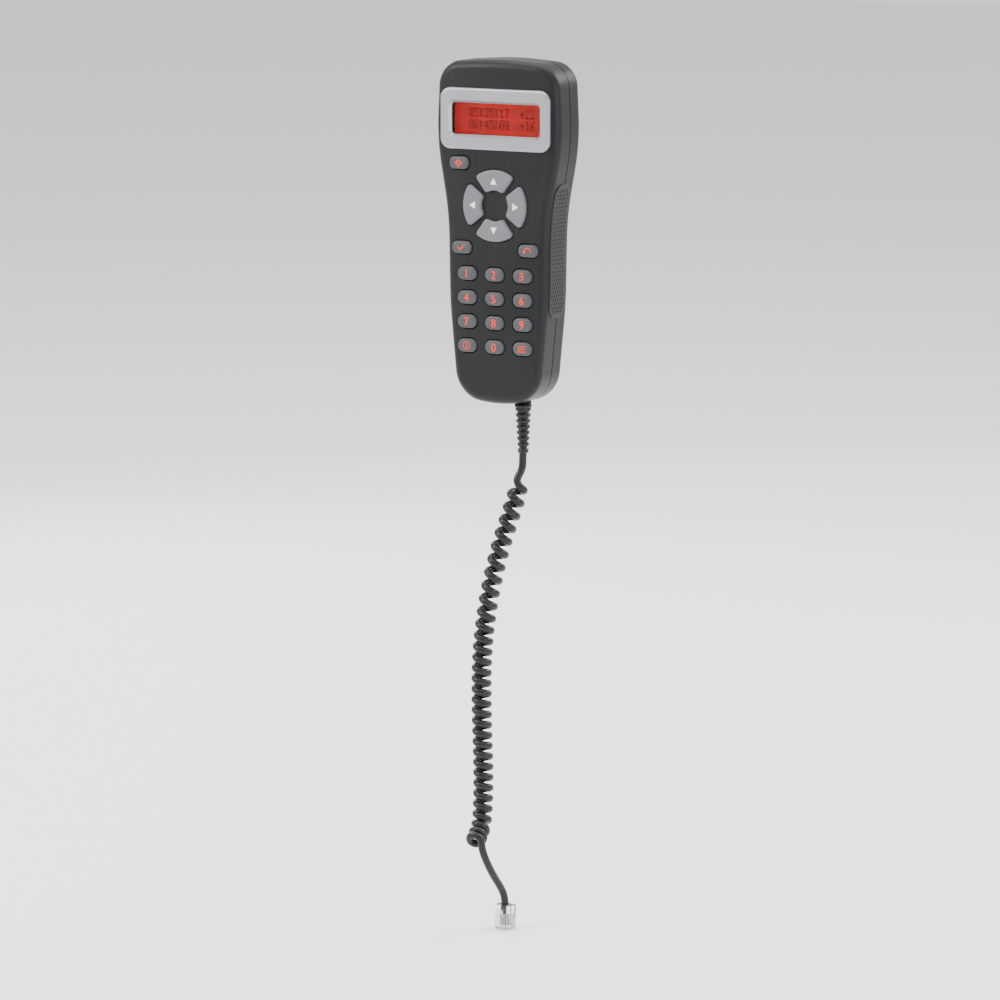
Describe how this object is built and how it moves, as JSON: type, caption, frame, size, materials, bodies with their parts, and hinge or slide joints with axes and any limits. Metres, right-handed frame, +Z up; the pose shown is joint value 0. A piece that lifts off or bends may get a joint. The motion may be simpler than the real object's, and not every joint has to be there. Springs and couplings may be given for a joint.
{
  "type": "telescope hand controller",
  "caption": "Handheld keypad controller with a two-line display window, sprung keys, side grips, a serial jack and a hanging curly cord that ends in a modular plug.",
  "frame": {"origin": "middle of the flat rear face that rests against the holder", "axes": "+Z up along the case towards the display end, +Y out of the rear face, keys face -Y, +X to the right of a person reading the display"},
  "size_m": [0.0758, 0.0449, 0.4755],
  "materials": {
    "case_plastic": "fine textured black",
    "grip_rubber": "soft ribbed black",
    "screw_steel": "zinc plated",
    "bezel_plastic": "silver paint",
    "window_clear": "clear acrylic",
    "display_cell": "red lit liquid crystal cell",
    "light_guide": "white",
    "circuit_board": "green solder mask",
    "key_silicone": "satin",
    "direction_key": "satin grey",
    "gold_contact": "gold plated",
    "chip_plastic": "moulded epoxy",
    "key_lamp": "small red lamp",
    "jack_plastic": "black",
    "wire_insulation": "coloured insulation",
    "cord_jacket": "satin black jacket",
    "plug_clear": "clear polycarbonate"
  },
  "bodies": {
    "case": {"board_screws": "screw_steel", "case_screws": "screw_steel", "clock_crystal": "screw_steel", "controller_chip": "chip_plastic", "cord_coil": "cord_jacket", "cord_header": "light_guide", "cord_lower_lead": "cord_jacket", "cord_tie": "jack_plastic", "cord_upper_lead": "cord_jacket", "cord_wires": "wire_insulation", "display_backlight": "light_guide", "display_bezel": "bezel_plastic", "display_board": "circuit_board", "display_frame": "screw_steel", "display_gasket": "grip_rubber", "display_glass": "display_cell", "display_ribbon": "light_guide", "display_screws": "screw_steel", "display_window": "window_clear", "front_shell": "case_plastic", "key_contacts": "gold_contact", "key_lamps": "key_lamp", "keypad_mat": "key_silicone", "left_grip": "grip_rubber", "main_board": "circuit_board", "memory_chip": "chip_plastic", "plug_body": "plug_clear", "plug_conductors": "wire_insulation", "plug_contacts": "gold_contact", "rear_pad": "grip_rubber", "rear_shell": "case_plastic", "right_grip": "grip_rubber", "serial_contacts": "gold_contact", "serial_jack": "jack_plastic", "small_parts": "chip_plastic", "strain_relief": "cord_jacket"},
    "key_0_press": {"key_0": "key_silicone"},
    "key_1_press": {"key_1": "key_silicone"},
    "key_2_press": {"key_2": "key_silicone"},
    "key_3_press": {"key_3": "key_silicone"},
    "key_4_press": {"key_4": "key_silicone"},
    "key_5_press": {"key_5": "key_silicone"},
    "key_6_press": {"key_6": "key_silicone"},
    "key_7_press": {"key_7": "key_silicone"},
    "key_8_press": {"key_8": "key_silicone"},
    "key_9_press": {"key_9": "key_silicone"},
    "key_align_press": {"key_align": "key_silicone"},
    "key_down_press": {"key_down": "direction_key"},
    "key_enter_press": {"key_enter": "key_silicone"},
    "key_info_press": {"key_info": "key_silicone"},
    "key_left_press": {"key_left": "direction_key"},
    "key_menu_press": {"key_menu": "key_silicone"},
    "key_right_press": {"key_right": "direction_key"},
    "key_undo_press": {"key_undo": "key_silicone"},
    "key_up_press": {"key_up": "direction_key"},
    "latch": {"plug_latch": "plug_clear"}
  },
  "joints": [
    {"name": "key_0_travel", "type": "slide", "parent": "case", "child": "key_0_press", "axis": [0, 1, 0], "range_m": [0, 0.0011], "stiffness_N_per_m": 900},
    {"name": "key_1_travel", "type": "slide", "parent": "case", "child": "key_1_press", "axis": [0, 1, 0], "range_m": [0, 0.0011], "stiffness_N_per_m": 900},
    {"name": "key_2_travel", "type": "slide", "parent": "case", "child": "key_2_press", "axis": [0, 1, 0], "range_m": [0, 0.0011], "stiffness_N_per_m": 900},
    {"name": "key_3_travel", "type": "slide", "parent": "case", "child": "key_3_press", "axis": [0, 1, 0], "range_m": [0, 0.0011], "stiffness_N_per_m": 900},
    {"name": "key_4_travel", "type": "slide", "parent": "case", "child": "key_4_press", "axis": [0, 1, 0], "range_m": [0, 0.0011], "stiffness_N_per_m": 900},
    {"name": "key_5_travel", "type": "slide", "parent": "case", "child": "key_5_press", "axis": [0, 1, 0], "range_m": [0, 0.0011], "stiffness_N_per_m": 900},
    {"name": "key_6_travel", "type": "slide", "parent": "case", "child": "key_6_press", "axis": [0, 1, 0], "range_m": [0, 0.0011], "stiffness_N_per_m": 900},
    {"name": "key_7_travel", "type": "slide", "parent": "case", "child": "key_7_press", "axis": [0, 1, 0], "range_m": [0, 0.0011], "stiffness_N_per_m": 900},
    {"name": "key_8_travel", "type": "slide", "parent": "case", "child": "key_8_press", "axis": [0, 1, 0], "range_m": [0, 0.0011], "stiffness_N_per_m": 900},
    {"name": "key_9_travel", "type": "slide", "parent": "case", "child": "key_9_press", "axis": [0, 1, 0], "range_m": [0, 0.0011], "stiffness_N_per_m": 900},
    {"name": "key_align_travel", "type": "slide", "parent": "case", "child": "key_align_press", "axis": [0, 1, 0], "range_m": [0, 0.0011], "stiffness_N_per_m": 900},
    {"name": "key_down_travel", "type": "slide", "parent": "case", "child": "key_down_press", "axis": [0, 1, 0], "range_m": [0, 0.0011], "stiffness_N_per_m": 900},
    {"name": "key_enter_travel", "type": "slide", "parent": "case", "child": "key_enter_press", "axis": [0, 1, 0], "range_m": [0, 0.0011], "stiffness_N_per_m": 900},
    {"name": "key_info_travel", "type": "slide", "parent": "case", "child": "key_info_press", "axis": [0, 1, 0], "range_m": [0, 0.0011], "stiffness_N_per_m": 900},
    {"name": "key_left_travel", "type": "slide", "parent": "case", "child": "key_left_press", "axis": [0, 1, 0], "range_m": [0, 0.0011], "stiffness_N_per_m": 900},
    {"name": "key_menu_travel", "type": "slide", "parent": "case", "child": "key_menu_press", "axis": [0, 1, 0], "range_m": [0, 0.0011], "stiffness_N_per_m": 900},
    {"name": "key_right_travel", "type": "slide", "parent": "case", "child": "key_right_press", "axis": [0, 1, 0], "range_m": [0, 0.0011], "stiffness_N_per_m": 900},
    {"name": "key_undo_travel", "type": "slide", "parent": "case", "child": "key_undo_press", "axis": [0, 1, 0], "range_m": [0, 0.0011], "stiffness_N_per_m": 900},
    {"name": "key_up_travel", "type": "slide", "parent": "case", "child": "key_up_press", "axis": [0, 1, 0], "range_m": [0, 0.0011], "stiffness_N_per_m": 900},
    {"name": "latch_flex", "type": "hinge", "parent": "case", "child": "latch", "pos_m": [0.00069, -0.02225, -0.3832], "axis": [1, 0, 0], "range_deg": [-9, 0], "stiffness_Nm_per_rad": 0.05}
  ]
}
